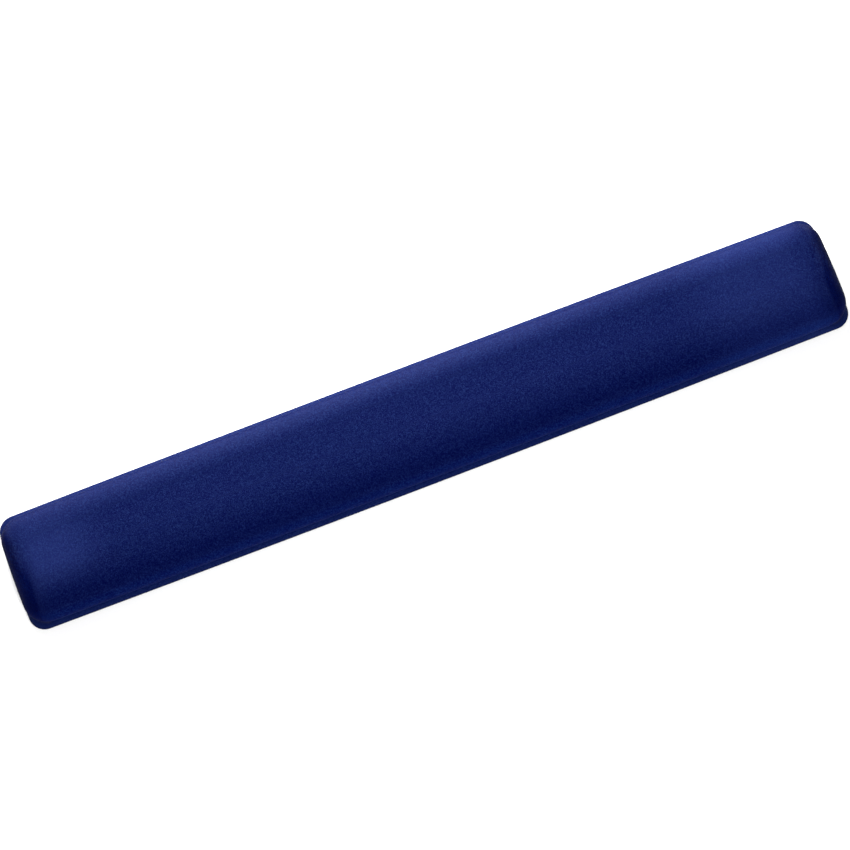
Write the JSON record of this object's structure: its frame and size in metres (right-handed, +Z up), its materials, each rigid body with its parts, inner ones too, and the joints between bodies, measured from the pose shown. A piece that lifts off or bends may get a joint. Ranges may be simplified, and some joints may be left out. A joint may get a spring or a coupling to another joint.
{
  "type": "wrist rest",
  "caption": "Straight keyboard wrist rest: a knit-covered gel pillow, gently sloped to the front, with a narrow rim, on a non-slip rubber base.",
  "frame": {"origin": "centre of the underside, on the surface the rest lies on", "axes": "+X along the length, +Y towards the keyboard side, +Z up"},
  "size_m": [0.483, 0.067, 0.019],
  "materials": {
    "base_rubber": "matte",
    "adhesive": "satin",
    "film": "satin",
    "gel": "satin",
    "cover_fabric": "matte"
  },
  "bodies": {
    "root": {"rubber_base": "base_rubber", "adhesive_sheet": "adhesive", "backing_film": "film", "gel_core": "gel", "cover_film": "film", "fabric_cover": "cover_fabric"}
  },
  "joints": []
}
